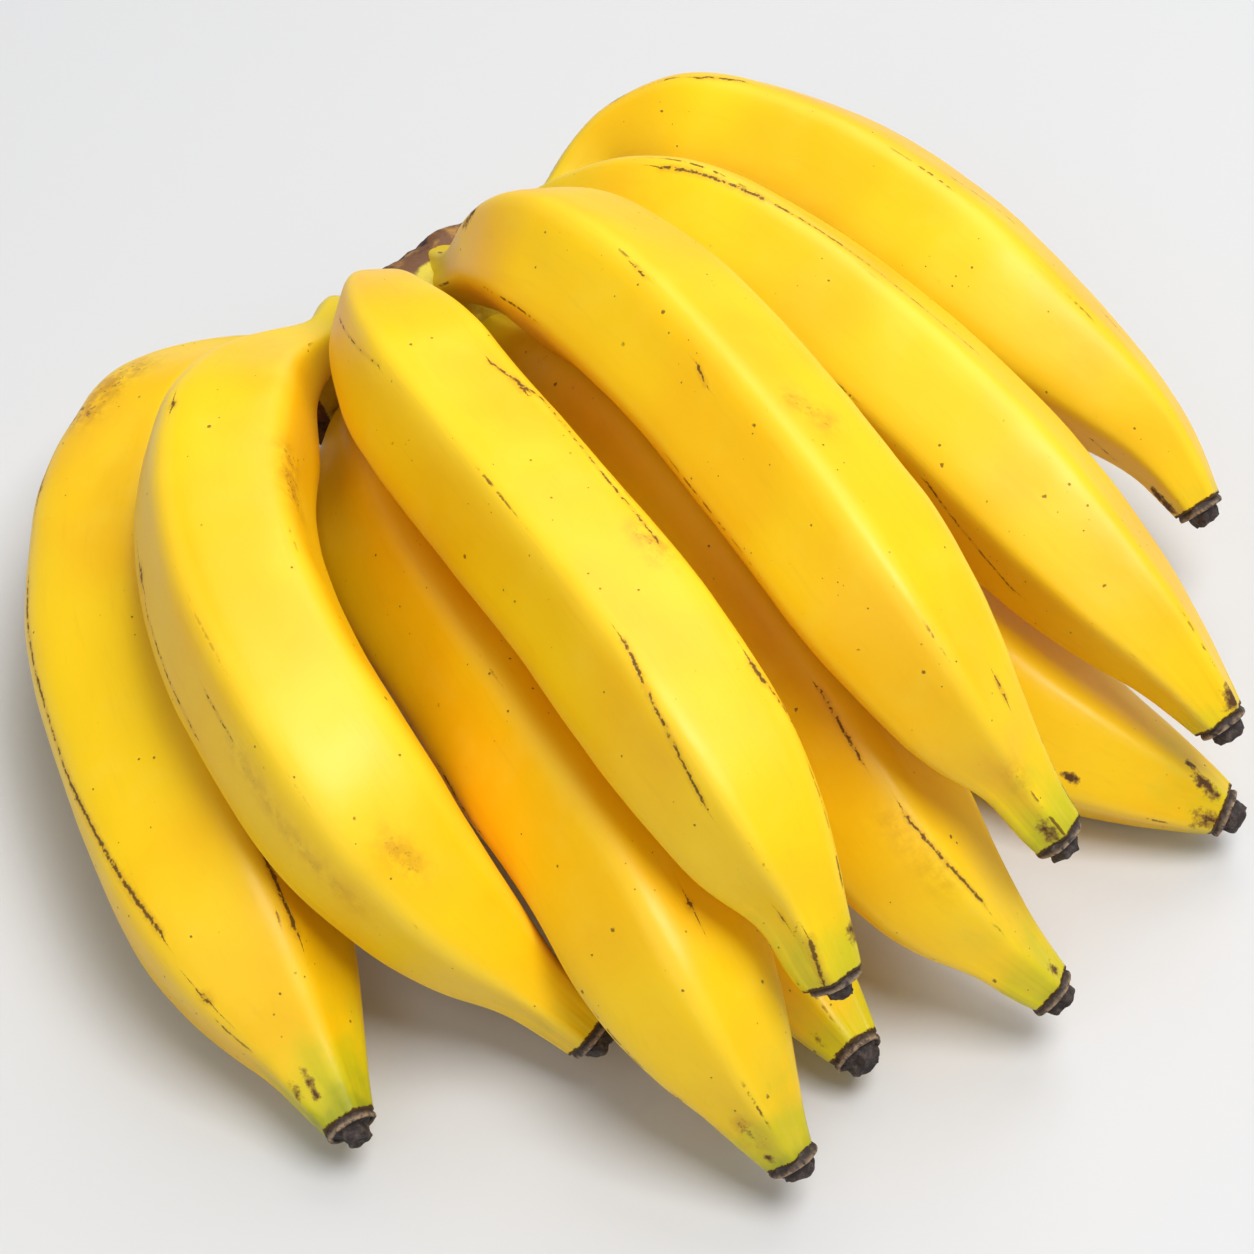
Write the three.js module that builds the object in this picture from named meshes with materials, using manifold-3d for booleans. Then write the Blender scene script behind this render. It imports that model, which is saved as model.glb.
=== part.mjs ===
// A hand of ten bananas lying on its side: two stacked rows of five fingers that fan out of one
// woody crown, each finger ending in the dried remnant of its flower. Millimetres, +Z up; the hand
// lies on z = 0 with its tips towards -Y and its crown behind, and the origin is at the middle of
// the hand's footprint.
import * as THREE from 'three';
import { mergeVertices } from 'three/addons/utils/BufferGeometryUtils.js';
import Module from 'manifold-3d';

const wasm = await Module();
wasm.setup();

// ---------------------------------------------------------------- driving dimensions
const NECK_RADIUS = 5.2;        // the thin stalk between the crown and the finger
const NECK_LENGTH = 10;         // how far the stalk stays thin before it swells
const TIP_RADIUS = 5;           // the blunt blossom end of a finger
const MIDDLE = 0.58;            // share of the length where a finger is fattest
const FALL_OFF = 0.3;           // how fast it thins away from there
const RIDGES = 5;               // a banana is a rounded five-sided tube
const ROUNDING = 7;             // higher is a sharper ridge
const SIDES = 15;               // facets round a finger, three to each face
const STATIONS = 26;            // rings along a finger
const GAP = 0.35;               // clearance between parts that grow into each other
const CREST = new THREE.Vector3(0, 0, 1);

const CROWN_HALF_HEIGHT = 16;   // spans both rows of stalks
const CROWN_HALF_DEPTH = 9;
const CROWN_CORNER = 2.8;       // superellipse exponent of its cross-section
const CROWN_STATIONS = 22;
const CROWN_SIDES = 20;
const CROWN_PATH = [[-68, 61, 33], [-57, 66, 34], [-46, 75, 34], [-36, 84, 34], [-26, 92, 33], [-15, 101, 32]];

// The dried flower: radius against distance from the blossom end.
const FLOWER_PROFILE = [[4.5, 0], [4.9, 0.7], [4.7, 1.6], [3.9, 2.4], [3.7, 3.6], [2.8, 4.9]];
const FLOWER_SIDES = 10;

const PEEL = { roughness: 0.45, metalness: 0 };

// One finger each: the control points of its centreline from the crown to the blossom end, its
// greatest radius, the lengths over which it swells and tapers, how blunt the taper is, and the
// turn of its five faces about the centreline in degrees.
const FINGERS = [
  { girth: 20.4, swell: 37, taper: 56, blunt: 1.1, turn: 23, colour: 0xf2c21c,
    path: [[-60, 67, 26], [-68, 77, 27], [-83, 70, 26], [-94, 47, 25], [-99, 15, 25],
      [-90, -22, 24], [-74, -54, 21], [-60, -80, 16], [-49, -98, 11]] },
  { girth: 16.8, swell: 47, taper: 66, blunt: 1.25, turn: -2, colour: 0xf5c825,
    path: [[-57, 68, 42], [-60, 57, 49], [-72, 40, 55], [-76, 14, 59], [-72, -20, 61],
      [-56, -48, 57], [-41, -65, 43], [-25, -72, 26], [-7, -82, 15]] },
  { girth: 17.3, swell: 49, taper: 50, blunt: 1.1, turn: -9, colour: 0xf0bd1a,
    path: [[-49, 72, 25], [-52, 59, 30], [-47, 32, 34], [-34, -3, 37],
      [-15, -38, 39], [4, -69, 37], [16, -93, 27], [28, -105, 13]] },
  { girth: 16.0, swell: 57, taper: 54, blunt: 1.2, turn: 6, colour: 0xf7cf3a,
    path: [[-47, 76, 42], [-49, 58, 62], [-46, 40, 68], [-32, 14, 70],
      [-12, -19, 73], [7, -49, 72], [23, -74, 62], [35, -89, 44]] },
  { girth: 14.0, swell: 48, taper: 50, blunt: 0.9, turn: -20, colour: 0xeab516,
    path: [[-40, 80, 25], [-38, 69, 18], [-25, 40, 14], [-7, 3, 15],
      [12, -32, 17], [25, -61, 13], [40, -82, 9]] },
  { girth: 16.7, swell: 48, taper: 57, blunt: 1.1, turn: -29, colour: 0xefbb18,
    path: [[-31, 88, 25], [-22, 65, 37], [-4, 34, 45], [16, -2, 46],
      [37, -36, 41], [54, -62, 28], [76, -72, 14]] },
  { girth: 16.2, swell: 45, taper: 62, blunt: 1.25, turn: -10, colour: 0xf6cb2e,
    path: [[-37, 84, 42], [-31, 70, 56], [-20, 62, 72], [1, 40, 79],
      [24, 1, 81], [46, -34, 75], [61, -51, 59], [75, -61, 46]] },
  { girth: 16.7, swell: 46, taper: 54, blunt: 0.9, turn: -29, colour: 0xeeb917,
    path: [[-22, 96, 25], [-7, 85, 26], [20, 59, 25], [47, 23, 22],
      [70, -6, 17], [91, -20, 14], [113, -29, 10]] },
  { girth: 16.1, swell: 48, taper: 65, blunt: 1.0, turn: -54, colour: 0xf4c622,
    path: [[-28, 92, 42], [-15, 89, 57], [5, 80, 64], [33, 58, 63],
      [62, 27, 57], [84, 1, 48], [101, -16, 41], [110, -25, 33]] },
  { girth: 17.3, swell: 41, taper: 78, blunt: 1.0, turn: 10, colour: 0xf3c41e,
    path: [[-19, 100, 38], [-15, 110, 37], [-5, 124, 42], [19, 120, 47],
      [51, 99, 49], [78, 67, 44], [104, 48, 36], [114, 35, 26]] },
];

// ---------------------------------------------------------------- centrelines
// A uniform cubic B-spline that starts and ends exactly on its end control points.
class GrowthCurve extends THREE.Curve {
  constructor(path) {
    super();
    const points = path.map((p) => new THREE.Vector3(...p));
    const beyond = (end, next) => end.clone().multiplyScalar(2).sub(next);
    this.points = [beyond(points[0], points[1]), ...points, beyond(points.at(-1), points.at(-2))];
    this.arcLengthDivisions = 800;
  }

  getPoint(t, target = new THREE.Vector3()) {
    const spans = this.points.length - 3;
    const k = Math.min(Math.floor(t * spans), spans - 1);
    const u = t * spans - k;
    const weights = [(1 - u) ** 3, 3 * u ** 3 - 6 * u ** 2 + 4, -3 * u ** 3 + 3 * u ** 2 + 3 * u + 1, u ** 3];
    target.set(0, 0, 0);
    weights.forEach((w, i) => target.addScaledVector(this.points[k + i], w / 6));
    return target;
  }
}

// Centre, tangent, normal and binormal at even steps along a curve. The normal starts as near the
// crest direction as it can and is carried along with as little twist as possible.
function stationsAlong(curve, count) {
  const normal = CREST.clone();
  return Array.from({ length: count + 1 }, (_, i) => {
    const tangent = curve.getTangentAt(i / count);
    normal.addScaledVector(tangent, -normal.dot(tangent)).normalize();
    return {
      centre: curve.getPointAt(i / count),
      tangent,
      normal: normal.clone(),
      binormal: new THREE.Vector3().crossVectors(tangent, normal),
    };
  });
}

// ---------------------------------------------------------------- solids
const ease = (x) => THREE.MathUtils.smoothstep(x, 0, 1);

// A closed tube: a capped cylinder's grid bent onto the stations, with radiusAt(i, angle) giving
// the distance of the skin from the centre of station i.
function tube(stations, sides, firstAngle, radiusAt) {
  const rings = stations.length - 1;
  const geometry = new THREE.CylinderGeometry(1, 1, 1, sides, rings);
  geometry.deleteAttribute('normal');
  geometry.deleteAttribute('uv');
  const position = geometry.attributes.position;
  const point = new THREE.Vector3();
  for (let v = 0; v < position.count; v += 1) {
    point.fromBufferAttribute(position, v);
    const i = Math.round((0.5 - point.y) * rings);
    const angle = firstAngle - Math.atan2(point.x, point.z);
    const reach = Math.hypot(point.x, point.z) * radiusAt(i, angle);
    const { centre, normal, binormal } = stations[i];
    point.copy(centre)
      .addScaledVector(normal, reach * Math.cos(angle))
      .addScaledVector(binormal, reach * Math.sin(angle));
    position.setXYZ(v, point.x, point.y, point.z);
  }
  return mergeVertices(geometry, 1e-3);
}

// The rounded five-sided section, scaled so that its mean square radius is one.
function pentagon(angle) {
  const term = (k) => Math.max(0, Math.cos(angle - (k * 2 * Math.PI) / RIDGES)) ** ROUNDING;
  const sum = Array.from({ length: RIDGES }, (_, k) => term(k)).reduce((a, b) => a + b);
  return sum ** (-1 / ROUNDING);
}
const PENTAGON_MEAN = Math.sqrt(
  Array.from({ length: 360 }, (_, i) => pentagon((i * Math.PI) / 180) ** 2).reduce((a, b) => a + b) / 360,
);

// Radius of a finger at a distance from its root: thin stalk, swell, long body, taper to the tip.
function fingerRadius(finger, along, length) {
  const swollen = ease((along - NECK_LENGTH) / finger.swell);
  const body = NECK_RADIUS + (finger.girth - NECK_RADIUS) * swollen;
  const left = THREE.MathUtils.clamp((length - along) / finger.taper, 0, 1);
  const radius = TIP_RADIUS + (body - TIP_RADIUS) * Math.sin((left * Math.PI) / 2) ** finger.blunt;
  const fromMiddle = along / length - MIDDLE;
  return radius * (1 - FALL_OFF * fromMiddle ** 2 * swollen);
}

// One finger's skin; a clearance grows it on every side, for cutting its socket in the crown.
function fingerGeometry(finger, clearance = 0) {
  const stations = stationsAlong(finger.curve, STATIONS);
  stations[0].centre.addScaledVector(stations[0].tangent, -clearance);
  const length = finger.curve.getLength();
  const turn = THREE.MathUtils.degToRad(finger.turn);
  return tube(stations, SIDES, turn + Math.PI / RIDGES, (i, angle) => {
    const radius = fingerRadius(finger, (i / STATIONS) * length, length);
    return (radius * pentagon(angle - turn)) / PENTAGON_MEAN + clearance;
  });
}

// The crown before its sockets are cut: a bent pad with rounded ends and a superellipse section.
function crownGeometry() {
  const stations = stationsAlong(new GrowthCurve(CROWN_PATH), CROWN_STATIONS);
  return tube(stations, CROWN_SIDES, 0, (i, angle) => {
    const end = Math.abs((2 * i) / CROWN_STATIONS - 1);
    const fullness = Math.max(0.35, (1 - end ** 5) ** 0.5);
    const up = Math.abs(Math.cos(angle) / (CROWN_HALF_HEIGHT * fullness)) ** CROWN_CORNER;
    const out = Math.abs(Math.sin(angle) / (CROWN_HALF_DEPTH * fullness)) ** CROWN_CORNER;
    return (up + out) ** (-1 / CROWN_CORNER);
  });
}

// The knobbly dried flower standing on a finger's blossom end.
function flowerGeometry(curve) {
  const outline = [[0, 0], ...FLOWER_PROFILE, [0, FLOWER_PROFILE.at(-1)[1] + 0.5]];
  const geometry = new THREE.LatheGeometry(outline.map(([r, y]) => new THREE.Vector2(r, y)), FLOWER_SIDES);
  const tangent = curve.getTangentAt(1);
  const foot = curve.getPointAt(1).addScaledVector(tangent, GAP);
  geometry.applyQuaternion(new THREE.Quaternion().setFromUnitVectors(new THREE.Vector3(0, 1, 0), tangent));
  geometry.translate(foot.x, foot.y, foot.z);
  geometry.deleteAttribute('normal');
  geometry.deleteAttribute('uv');
  return mergeVertices(geometry, 1e-3);
}

// ---------------------------------------------------------------- boolean cuts
function toSolid(geometry) {
  return new wasm.Manifold(new wasm.Mesh({
    numProp: 3,
    vertProperties: new Float32Array(geometry.attributes.position.array),
    triVerts: new Uint32Array(geometry.index.array),
  }));
}

function toGeometry(solid) {
  const mesh = solid.getMesh();
  const geometry = new THREE.BufferGeometry();
  geometry.setAttribute('position', new THREE.BufferAttribute(mesh.vertProperties, 3));
  geometry.setIndex(new THREE.BufferAttribute(mesh.triVerts, 1));
  return geometry;
}

// ---------------------------------------------------------------- the hand
const hand = new THREE.Group();

function addPiece(name, geometry, material) {
  geometry.computeVertexNormals();
  const mesh = new THREE.Mesh(geometry, new THREE.MeshStandardMaterial(material));
  mesh.name = name;
  hand.add(mesh);
}

for (const finger of FINGERS) finger.curve = new GrowthCurve(finger.path);

const crown = FINGERS.reduce(
  (solid, finger) => solid.subtract(toSolid(fingerGeometry(finger, GAP))),
  toSolid(crownGeometry()),
);
addPiece('crown', toGeometry(crown), { color: 0x7a5a2e, roughness: 0.85, metalness: 0 });

FINGERS.forEach((finger, i) => {
  addPiece(`banana_${i + 1}`, fingerGeometry(finger), { color: finger.colour, ...PEEL });
  addPiece(`flower_end_${i + 1}`, flowerGeometry(finger.curve), { color: 0x2c2018, roughness: 0.9, metalness: 0 });
});

// The middle of the footprint comes to the origin and the lowest finger onto z = 0.
const box = new THREE.Box3().setFromObject(hand);
hand.position.set(-(box.min.x + box.max.x) / 2, -(box.min.y + box.max.y) / 2, -box.min.z);

export default hand;
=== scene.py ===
"""A hand of ten ripe bananas lying on its side: fingers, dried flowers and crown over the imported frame.

Sizes are in millimetres, as a grower would state them, and become metres when a mesh is written.
"""

from __future__ import annotations

import logging
from dataclasses import dataclass, field
from enum import Enum

import bpy
import numpy as np
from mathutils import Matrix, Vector

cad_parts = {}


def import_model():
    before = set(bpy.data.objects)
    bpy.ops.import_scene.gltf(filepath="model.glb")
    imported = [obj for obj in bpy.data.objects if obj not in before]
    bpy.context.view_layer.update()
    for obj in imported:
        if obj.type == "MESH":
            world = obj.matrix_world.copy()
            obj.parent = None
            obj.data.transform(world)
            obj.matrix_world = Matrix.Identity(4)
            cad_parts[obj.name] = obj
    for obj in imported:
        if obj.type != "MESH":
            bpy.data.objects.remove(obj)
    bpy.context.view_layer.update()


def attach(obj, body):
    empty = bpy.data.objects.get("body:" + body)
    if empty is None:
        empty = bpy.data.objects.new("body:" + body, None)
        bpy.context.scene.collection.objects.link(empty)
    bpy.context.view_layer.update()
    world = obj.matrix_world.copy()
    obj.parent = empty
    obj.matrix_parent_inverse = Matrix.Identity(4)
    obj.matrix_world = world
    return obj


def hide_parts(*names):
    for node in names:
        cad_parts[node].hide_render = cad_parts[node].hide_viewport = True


LOG = logging.getLogger("bananas")
BODY = "root"
# Metres in a millimetre.
MM = 0.001
# From the growth lines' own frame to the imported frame, in millimetres.
FRAME_SHIFT = np.array([-1.48, -13.02, -0.43])
# The way up, from which degrees round a finger are counted.
CREST = np.array([0.0, 0.0, 1.0])
# Ridges round a banana, with a flat face between each two.
RIDGES = 5
# Distance in half widths that stands for "no scar anywhere near".
NO_SCAR = 40.0
# Distance in half widths past which a scar's strength dies away.
SCAR_REACH = 9.0
# Direction along which each piece's seed shifts its patterns.
SEED_SHIFT = (1.0, 0.61, 0.37)
# Seed of each finger's and each dried flower's patterns, for each step of its number.
FINGER_SEED = 0.731
FLOWER_SEED = 0.417
# First seed of each random pattern, to which a finger's number is added.
RIPPLE_SEED, TIP_SEED = 40, 80
LOBE_SEED, CRUMPLE_SEED, CRUMB_SEED, BUTTON_SEED = 200, 300, 400, 500
# Seed of the crown's first layer of crumpling.
CROWN_SEED = 7
# Points at which a growth line's length is summed.
FINE_STEPS = 2001
Colour = tuple[float, float, float, float]
Triple = tuple[float, float, float]
Array = np.ndarray
Socket = bpy.types.NodeSocket
# What can go into a node's input: another node's output, or a plain value.
Feed = Socket | float | tuple[float, ...]


class Mark(Enum):
    """What a blemish on a peel is."""

    SCAR = "scar"
    BRUISE = "bruise"
    SCUFF = "scuff"


def tone(red: int, green: int, blue: int) -> Colour:
    """Turn a display colour of three 0-255 channels into linear light by the sRGB curve.

    Args:
        red: Red channel as it is seen.
        green: Green channel.
        blue: Blue channel.

    Returns:
        The colour in linear light, opaque.
    """
    seen = np.array([red, green, blue]) / 255.0
    linear = np.where(seen <= 0.04045, seen / 12.92, ((seen + 0.055) / 1.055) ** 2.4)
    return (float(linear[0]), float(linear[1]), float(linear[2]), 1.0)


def ease(x: Array) -> Array:
    """Rise from 0 to 1 with flat ends: 3x squared minus 2x cubed, x held between 0 and 1."""
    held = np.clip(x, 0.0, 1.0)
    return held * held * (3.0 - 2.0 * held)


def outward(normal: Array, binormal: Array, around: Array) -> Array:
    """Give the direction out of a line at each angle: normal times cosine plus binormal times sine."""
    cosine, sine = np.cos(around)[None, :, None], np.sin(around)[None, :, None]
    return normal[:, None] * cosine + binormal[:, None] * sine


def swells(points: Array, pitch: float, seed: int, waves: int = 18) -> Array:
    """Give soft random hills over space: a sum of sines with random directions and phases.

    Args:
        points: Positions in millimetres, last axis x, y, z.
        pitch: Distance between neighbouring hills in millimetres.
        seed: Number that fixes the pattern.
        waves: How many sines are added.

    Returns:
        Heights of about -1 to 1, one for each position.
    """
    dice = np.random.default_rng(seed)
    heading = dice.normal(size=(waves, 3))
    heading /= np.linalg.norm(heading, axis=1, keepdims=True)
    wave = heading * (2.0 * np.pi / pitch) * dice.uniform(0.6, 1.5, (waves, 1))
    phase = dice.uniform(0.0, 2.0 * np.pi, waves)
    return np.sin(points @ wave.T + phase).sum(-1) / np.sqrt(waves) * 0.7


@dataclass(frozen=True)
class Blemish:
    """One mark on a peel, placed in the finger's own terms.

    Attributes:
        kind: What it is.
        start: Where it begins: share of the length from the root, and degrees round from the crest.
        end: Where it ends, in the same terms.
        width: Half its width in millimetres.
        strength: How dark it is, 0 to 1.
    """

    kind: Mark
    start: tuple[float, float]
    end: tuple[float, float]
    width: float
    strength: float = 1.0

    def reach(
        self, along: Array, around: Array, radius: Array, length: float
    ) -> Array:
        """Measure how far the skin is from the line between start and end, in half widths.

        Args:
            along: Distance from the root in millimetres, one for each ring.
            around: Angle from the crest in radians, one for each column.
            radius: Radius of each ring in millimetres.
            length: Length of the finger.

        Returns:
            Signed distance for each ring and column: its sign is the side of the line.
        """
        s0, s1 = self.start[0] * length, self.end[0] * length
        a0, a1 = np.radians(self.start[1]), np.radians(self.end[1])
        share = np.clip((along - s0) / max(s1 - s0, 1e-6), 0.0, 1.0)
        line = a0 + (a1 - a0) * share
        side = ((around[None, :] - line[:, None] + np.pi) % (2.0 * np.pi) - np.pi) * radius[:, None]
        past = np.maximum(np.maximum(s0 - along, along - s1), 0.0)[:, None]
        return np.copysign(np.hypot(side, past), side) / self.width


def marked(rows: dict[Mark, list[tuple[float, ...]]]) -> tuple[Blemish, ...]:
    """Make a finger's blemishes.

    Args:
        rows: For each kind, where each one starts and ends, half its width and, unless it is 1,
            its strength.

    Returns:
        The blemishes.
    """
    return tuple(Blemish(kind, row[:2], row[2:4], *row[4:]) for kind, some in rows.items() for row in some)


class Centreline:
    """A growth line: a uniform cubic B-spline that starts and ends on its end control points."""

    def __init__(self, path: list[Triple]) -> None:
        """Take the control points in millimetres, root first."""
        points = np.array(path, float)
        self.points = np.vstack([2 * points[0] - points[1], points, 2 * points[-1] - points[-2]])

    def at(self, share: Array) -> Array:
        """Give positions on the spline: the four cubic weights times the four nearest control points.

        Args:
            share: Spline parameters, 0 to 1.

        Returns:
            One position for each parameter, in millimetres.
        """
        spans = len(self.points) - 3
        k = np.minimum((share * spans).astype(int), spans - 1)
        u = (share * spans - k)[:, None]
        weights = ((1 - u) ** 3, 3 * u**3 - 6 * u**2 + 4, -3 * u**3 + 3 * u**2 + 3 * u + 1, u**3)
        return sum(w * self.points[k + i] for i, w in enumerate(weights)) / 6.0

    def stations(self, shares: Array) -> tuple[Array, Array, Array, Array, float]:
        """Give even-length stations with their frames.

        The normal starts as near the upward direction as it can, and each later one is the one
        before with its part along the tangent taken away. The binormal is tangent cross normal.

        Args:
            shares: Shares of the arc length, 0 to 1.

        Returns:
            Centres, tangents, normals, binormals, and the length in millimetres.
        """
        fine = np.linspace(0.0, 1.0, FINE_STEPS)
        spots = self.at(fine)
        run = np.concatenate([[0.0], np.cumsum(np.linalg.norm(np.diff(spots, axis=0), axis=1))])
        length = float(run[-1])
        where = np.interp(shares * length, run, fine)
        step = 1e-3
        tangent = self.at(np.minimum(where + step, 1.0)) - self.at(np.maximum(where - step, 0.0))
        tangent /= np.linalg.norm(tangent, axis=1, keepdims=True)
        carried = CREST
        normals = []
        for heading in tangent:
            carried = carried - (carried @ heading) * heading
            carried = carried / np.linalg.norm(carried)
            normals.append(carried)
        normal = np.array(normals)
        return self.at(where), tangent, normal, np.cross(tangent, normal), length


@dataclass
class Skin:
    """A closed surface on a grid of rings and columns, with values painted on its points.

    Attributes:
        name: Name of the piece.
        rings: Positions for each ring and column.
        first_pole: Middle of the end before the first ring.
        last_pole: Middle of the end after the last ring.
        values: Painted values for each ring and column, by name.
    """

    name: str
    rings: Array
    first_pole: Array
    last_pole: Array
    values: dict[str, Array] = field(default_factory=dict)

    def _with_poles(self, grid: Array) -> Array:
        """Flatten a grid and add the two poles as the means of the first and last rings."""
        flat = grid.reshape(-1, *grid.shape[2:])
        return np.concatenate([flat, grid[:1].mean(1), grid[-1:].mean(1)])

    def build(self) -> bpy.types.Object:
        """Write the mesh: quads between rings, and a fan of triangles at each pole.

        Returns:
            The object, at the origin, with its place in its mesh.
        """
        n, m = self.rings.shape[:2]
        i, j = np.meshgrid(np.arange(n - 1), np.arange(m), indexing="ij")
        k = (j + 1) % m
        quads = np.stack([i * m + j, i * m + k, (i + 1) * m + k, (i + 1) * m + j], -1).reshape(-1, 4)
        column = np.arange(m)
        after = (column + 1) % m
        first = np.stack([np.full(m, n * m), after, column], -1)
        last = np.stack([np.full(m, n * m + 1), (n - 1) * m + column, (n - 1) * m + after], -1)
        spots = np.vstack([self.rings.reshape(-1, 3), self.first_pole, self.last_pole])
        mesh = bpy.data.meshes.new(self.name)
        mesh.from_pydata((spots + FRAME_SHIFT) * MM, [], quads.tolist() + first.tolist() + last.tolist())
        mesh.polygons.foreach_set("use_smooth", np.ones(len(mesh.polygons), bool))
        for title, grid in self.values.items():
            flat = self._with_poles(grid)
            kind, key = ("FLOAT_VECTOR", "vector") if flat.ndim == 2 else ("FLOAT", "value")
            layer = mesh.attributes.new(title, kind, "POINT")
            layer.data.foreach_set(key, flat.astype(np.float32).ravel())
        mesh.update()
        thing = bpy.data.objects.new(self.name, mesh)
        bpy.context.scene.collection.objects.link(thing)
        return thing


class Shader:
    """A material while its nodes are being wired."""

    def __init__(self, name: str) -> None:
        """Start an empty material with one surface shader.

        Args:
            name: Name of the material.
        """
        self.material = bpy.data.materials.new(name)
        self.material.use_nodes = True
        self.tree = self.material.node_tree
        self.tree.nodes.clear()
        self.surface = self.tree.nodes.new("ShaderNodeBsdfPrincipled")
        out = self.tree.nodes.new("ShaderNodeOutputMaterial")
        self.tree.links.new(self.surface.outputs[0], out.inputs[0])

    def feed(self, node: bpy.types.Node, feeds: dict[int | str, Feed]) -> None:
        """Link other nodes' outputs into a node's inputs, or set the inputs to plain values.

        Args:
            node: The node.
            feeds: What goes into each input, by the input's name or number.
        """
        for key, value in feeds.items():
            if isinstance(value, Socket):
                self.tree.links.new(value, node.inputs[key])
            else:
                node.inputs[key].default_value = value

    def add(self, kind: str, feeds: dict[int | str, Feed]) -> bpy.types.Node:
        """Add a node and feed it.

        Args:
            kind: Type of the node.
            feeds: What goes into each input, by the input's name or number.

        Returns:
            The node.
        """
        node = self.tree.nodes.new(kind)
        self.feed(node, feeds)
        return node

    def painted(self, title: str, vector: bool = False) -> Socket:
        """Read a value painted on the piece's points.

        Args:
            title: Name of the value.
            vector: Whether it is three numbers and not one.

        Returns:
            The value.
        """
        node = self.tree.nodes.new("ShaderNodeAttribute")
        node.attribute_name = title
        return node.outputs["Vector" if vector else "Fac"]

    def parts(self, vector: Feed) -> tuple[Socket, ...]:
        """Split a vector into its three numbers."""
        return tuple(self.add("ShaderNodeSeparateXYZ", {0: vector}).outputs)

    def position(self) -> Socket:
        """Read the position on the piece."""
        return self.tree.nodes.new("ShaderNodeTexCoord").outputs["Object"]

    def moved(self, place: Feed, by: Feed) -> Socket:
        """Add a step to a position."""
        return self.add("ShaderNodeVectorMath", {0: place, 1: by}).outputs[0]

    def seeded(self, place: Feed) -> Socket:
        """Move a position by the piece's own seed, so that no two pieces share a pattern.

        Args:
            place: The position.

        Returns:
            The moved position.
        """
        offset = self.tree.nodes.new("ShaderNodeVectorMath")
        offset.operation = "SCALE"
        self.feed(offset, {0: SEED_SHIFT, "Scale": self.painted("seed")})
        return self.moved(place, offset.outputs[0])

    def noise(self, place: Feed, pitch: float, detail: float = 2.0, rough: float = 0.5) -> Socket:
        """Make cloudy noise of about 0 to 1, with hills about a pitch of millimetres apart."""
        feeds = {"Vector": place, "Scale": 1.0 / (pitch * MM), "Detail": detail, "Roughness": rough}
        return self.add("ShaderNodeTexNoise", feeds).outputs["Fac"]

    def cells(self, place: Feed, pitch: float) -> tuple[Socket, Socket]:
        """Give the distance in pitches to the nearest scattered point, and that point's random colour."""
        node = self.add("ShaderNodeTexVoronoi", {"Vector": place, "Scale": 1.0 / (pitch * MM)})
        return node.outputs["Distance"], node.outputs["Color"]

    def math(self, operation: str, one: Feed, other: Feed = 0.0) -> Socket:
        """Combine two numbers.

        Args:
            operation: Operation of the Math node.
            one: First number.
            other: Second number, where the operation takes one.

        Returns:
            The result.
        """
        node = self.add("ShaderNodeMath", {0: one, 1: other})
        node.operation = operation
        return node.outputs[0]

    def plus(self, one: Feed, other: Feed) -> Socket:
        """Add two numbers."""
        return self.math("ADD", one, other)

    def times(self, one: Feed, other: Feed) -> Socket:
        """Multiply two numbers."""
        return self.math("MULTIPLY", one, other)

    def larger(self, one: Feed, other: Feed) -> Socket:
        """Take the larger of two numbers."""
        return self.math("MAXIMUM", one, other)

    def swayed(self, value: Feed, noise: Feed, swing: float) -> Socket:
        """Make a value ragged: add noise less a half, times a swing."""
        return self.plus(value, self.times(self.math("SUBTRACT", noise, 0.5), swing))

    def fade(self, value: Feed, low: float, high: float, top: float = 1.0) -> Socket:
        """Rise smoothly from 0 to a top as a value crosses a range; low above high falls instead.

        Args:
            value: The value.
            low: Where the result is 0.
            high: Where the result is at its top.
            top: The top.

        Returns:
            The faded value.
        """
        node = self.tree.nodes.new("ShaderNodeMapRange")
        node.interpolation_type = "SMOOTHSTEP"
        ends = (high, low, top, 0.0) if low > high else (low, high, 0.0, top)
        titles = ("From Min", "From Max", "To Min", "To Max")
        self.feed(node, {"Value": value, **dict(zip(titles, ends))})
        return node.outputs[0]

    def blend(self, share: Feed, under: Feed, over: Feed) -> Socket:
        """Lay one colour over another.

        Args:
            share: How much of the upper colour shows, 0 to 1.
            under: The lower colour.
            over: The upper colour.

        Returns:
            The mixed colour.
        """
        node = self.tree.nodes.new("ShaderNodeMix")
        node.data_type = "RGBA"
        self.feed(node, {0: share, 6: under, 7: over})
        return node.outputs[2]

    def relief(self, height: Feed, depth: float, under: Socket | None = None) -> Socket:
        """Turn a height into a bump.

        Args:
            height: Height of 0 to 1.
            depth: Depth of the whole range in millimetres.
            under: Another bump that this one lies on.

        Returns:
            The bumped normal.
        """
        node = self.add("ShaderNodeBump", {"Height": height, "Distance": depth * MM})
        if under is not None:
            self.feed(node, {"Normal": under})
        return node.outputs[0]


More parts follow.
